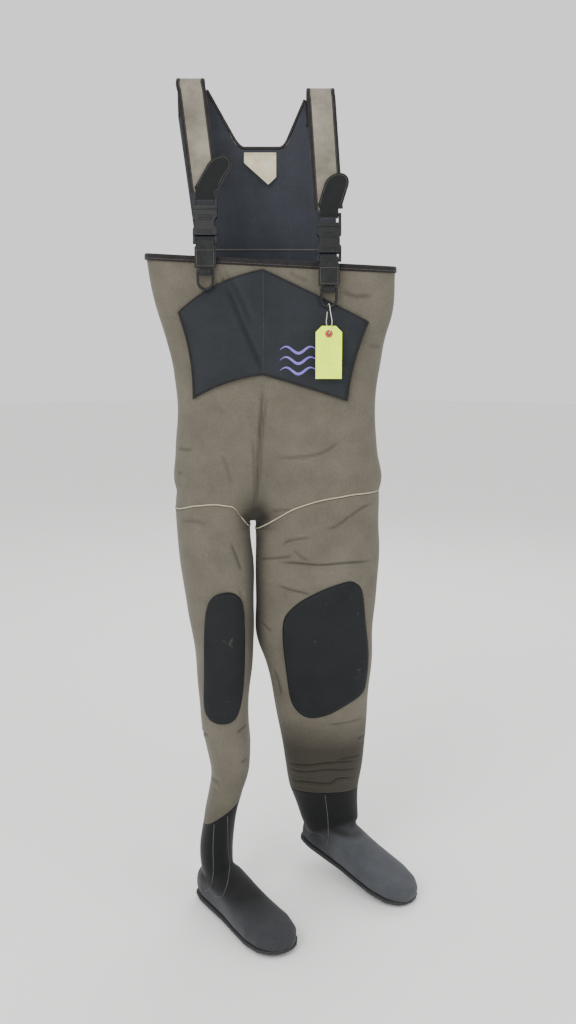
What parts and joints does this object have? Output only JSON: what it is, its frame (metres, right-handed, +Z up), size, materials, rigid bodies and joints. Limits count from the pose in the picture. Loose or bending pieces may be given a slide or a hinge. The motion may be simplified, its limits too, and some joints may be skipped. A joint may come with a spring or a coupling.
{
  "type": "chest waders",
  "caption": "Stocking-foot neoprene chest waders with a high back, shoulder straps, side-release buckles, hand pocket, knee pads and sock feet, hanging by the straps.",
  "frame": {"origin": "midway between the crests of the two shoulder straps, level with the wearer's right crest", "axes": "+Z up, -Y to the front of the chest, +X to the wearer's left"},
  "size_m": [0.5226, 0.4136, 1.5616],
  "materials": {
    "taupe_neoprene": "knitted nylon face on foam rubber, matt",
    "slate_lining": "brushed jersey lining, matt",
    "pocket_neoprene": "knitted nylon face on foam rubber, matt",
    "knee_pad_rubber": "rubberised knee patch, matt",
    "sock_neoprene": "dense knitted face on foam rubber, matt",
    "outsole_rubber": "thin moulded rubber sole, matt",
    "black_binding": "ribbed edging tape, matt",
    "black_webbing": "woven polyester webbing",
    "hook_and_loop": "loop pile with stitched edge",
    "buckle_plastic": "moulded acetal, satin",
    "label_cloth": "woven satin label, unprinted",
    "tag_card": "coated fluorescent card",
    "eyelet_paper": "pressed fibre patch",
    "tag_cotton": "twisted cotton string"
  },
  "bodies": {
    "root": {"body_panel_left": "taupe_neoprene", "body_panel_right": "taupe_neoprene", "seam_tape_front": "black_binding", "seam_tape_back": "black_binding", "chest_binding": "black_binding", "high_back_panel": "slate_lining", "neck_binding": "black_binding", "hand_pocket": "pocket_neoprene", "thigh_panel_left": "taupe_neoprene", "knee_panel_left": "taupe_neoprene", "knee_pad_left": "knee_pad_rubber", "strap_over_left": "taupe_neoprene", "strap_over_binding_inner_left": "black_binding", "strap_over_binding_outer_left": "black_binding", "strap_run_left": "taupe_neoprene", "strap_run_binding_inner_left": "black_binding", "strap_run_binding_outer_left": "black_binding", "buckle_socket_left": "buckle_plastic", "webbing_tab_left": "black_webbing", "ring_loop_left": "black_webbing", "thigh_panel_right": "taupe_neoprene", "knee_panel_right": "taupe_neoprene", "knee_pad_right": "knee_pad_rubber", "strap_over_right": "taupe_neoprene", "strap_over_binding_inner_right": "black_binding", "strap_over_binding_outer_right": "black_binding", "strap_run_right": "taupe_neoprene", "strap_run_binding_inner_right": "black_binding", "strap_run_binding_outer_right": "black_binding", "buckle_socket_right": "buckle_plastic", "webbing_tab_right": "black_webbing", "ring_loop_right": "black_webbing"},
    "care_label": {"care_label": "label_cloth"},
    "plug_left": {"buckle_plug_left": "buckle_plastic"},
    "tongue_left": {"strap_tongue_left": "hook_and_loop"},
    "prong_inner_left": {"buckle_prong_inner_left": "buckle_plastic"},
    "prong_outer_left": {"buckle_prong_outer_left": "buckle_plastic"},
    "ring_left": {"d_ring_left": "buckle_plastic"},
    "shin_left": {"shin_panel_left": "taupe_neoprene", "sock_shaft_left": "sock_neoprene", "sock_foot_left": "sock_neoprene", "outsole_left": "outsole_rubber"},
    "plug_right": {"buckle_plug_right": "buckle_plastic"},
    "tongue_right": {"strap_tongue_right": "hook_and_loop"},
    "prong_inner_right": {"buckle_prong_inner_right": "buckle_plastic"},
    "prong_outer_right": {"buckle_prong_outer_right": "buckle_plastic"},
    "ring_right": {"d_ring_right": "buckle_plastic"},
    "shin_right": {"shin_panel_right": "taupe_neoprene", "sock_shaft_right": "sock_neoprene", "sock_foot_right": "sock_neoprene", "outsole_right": "outsole_rubber"},
    "tag": {"shop_tag": "tag_card", "tag_eyelet": "eyelet_paper", "tag_string": "tag_cotton"}
  },
  "joints": [
    {"name": "buckle_release_left", "type": "slide", "parent": "root", "child": "plug_left", "axis": [0, 0.2425, 0.9701], "range_m": [0, 0.04], "deforming": ["strap_run_left", "strap_run_binding_inner_left", "strap_run_binding_outer_left"]},
    {"name": "tongue_peel_left", "type": "hinge", "parent": "plug_left", "child": "tongue_left", "pos_m": [0.133, -0.067, -0.243], "axis": [1, 0, 0], "range_deg": [0, 50], "stiffness_Nm_per_rad": 0.06},
    {"name": "prong_pinch_outer_left", "type": "hinge", "parent": "plug_left", "child": "prong_outer_left", "pos_m": [0.144, -0.07282, -0.26628], "axis": [0, 0.9701, -0.2425], "range_deg": [0, 4.5], "stiffness_Nm_per_rad": 0.3},
    {"name": "prong_pinch_inner_left", "type": "hinge", "parent": "plug_left", "child": "prong_inner_left", "pos_m": [0.122, -0.07282, -0.26628], "axis": [0, 0.9701, -0.2425], "range_deg": [-4.5, 0], "stiffness_Nm_per_rad": 0.3},
    {"name": "d_ring_swing_left", "type": "hinge", "parent": "root", "child": "ring_left", "pos_m": [0.133, -0.0881, -0.37515], "axis": [-1, 0, 0], "range_deg": [0, 100]},
    {"name": "knee_bend_left", "type": "hinge", "parent": "root", "child": "shin_left", "pos_m": [0.116, -0.027, -1.065], "axis": [1, 0, 0], "range_deg": [0, 60], "stiffness_Nm_per_rad": 15, "deforming": ["knee_panel_left", "knee_pad_left"]},
    {"name": "buckle_release_right", "type": "slide", "parent": "root", "child": "plug_right", "axis": [0, 0.2425, 0.9701], "range_m": [0, 0.04], "deforming": ["strap_run_right", "strap_run_binding_inner_right", "strap_run_binding_outer_right"]},
    {"name": "tongue_peel_right", "type": "hinge", "parent": "plug_right", "child": "tongue_right", "pos_m": [-0.09, -0.0635, -0.212], "axis": [1, 0, 0], "range_deg": [0, 50], "stiffness_Nm_per_rad": 0.06},
    {"name": "prong_pinch_outer_right", "type": "hinge", "parent": "plug_right", "child": "prong_outer_right", "pos_m": [-0.101, -0.06932, -0.23528], "axis": [0, 0.9701, -0.2425], "range_deg": [-4.5, 0], "stiffness_Nm_per_rad": 0.3},
    {"name": "prong_pinch_inner_right", "type": "hinge", "parent": "plug_right", "child": "prong_inner_right", "pos_m": [-0.079, -0.06932, -0.23528], "axis": [0, 0.9701, -0.2425], "range_deg": [0, 4.5], "stiffness_Nm_per_rad": 0.3},
    {"name": "d_ring_swing_right", "type": "hinge", "parent": "root", "child": "ring_right", "pos_m": [-0.09, -0.0881, -0.34415], "axis": [-1, 0, 0], "range_deg": [0, 100]},
    {"name": "knee_bend_right", "type": "hinge", "parent": "root", "child": "shin_right", "pos_m": [-0.066, -0.043, -1.065], "axis": [1, 0, 0], "range_deg": [0, 60], "stiffness_Nm_per_rad": 15, "deforming": ["knee_panel_right", "knee_pad_right"]},
    {"name": "tag_swing", "type": "hinge", "parent": "ring_left", "child": "tag", "pos_m": [0.133, -0.0881, -0.40615], "axis": [-1, 0, 0], "range_deg": [0, 60]},
    {"name": "care_label_flip", "type": "hinge", "parent": "root", "child": "care_label", "pos_m": [0.0095, 0.03493, -0.127], "axis": [-1, 0, 0], "range_deg": [0, 80]}
  ],
  "couplings": [
    {"joint": "prong_pinch_inner_left", "follows": "prong_pinch_outer_left", "ratio": -1},
    {"joint": "prong_pinch_inner_right", "follows": "prong_pinch_outer_right", "ratio": -1}
  ]
}
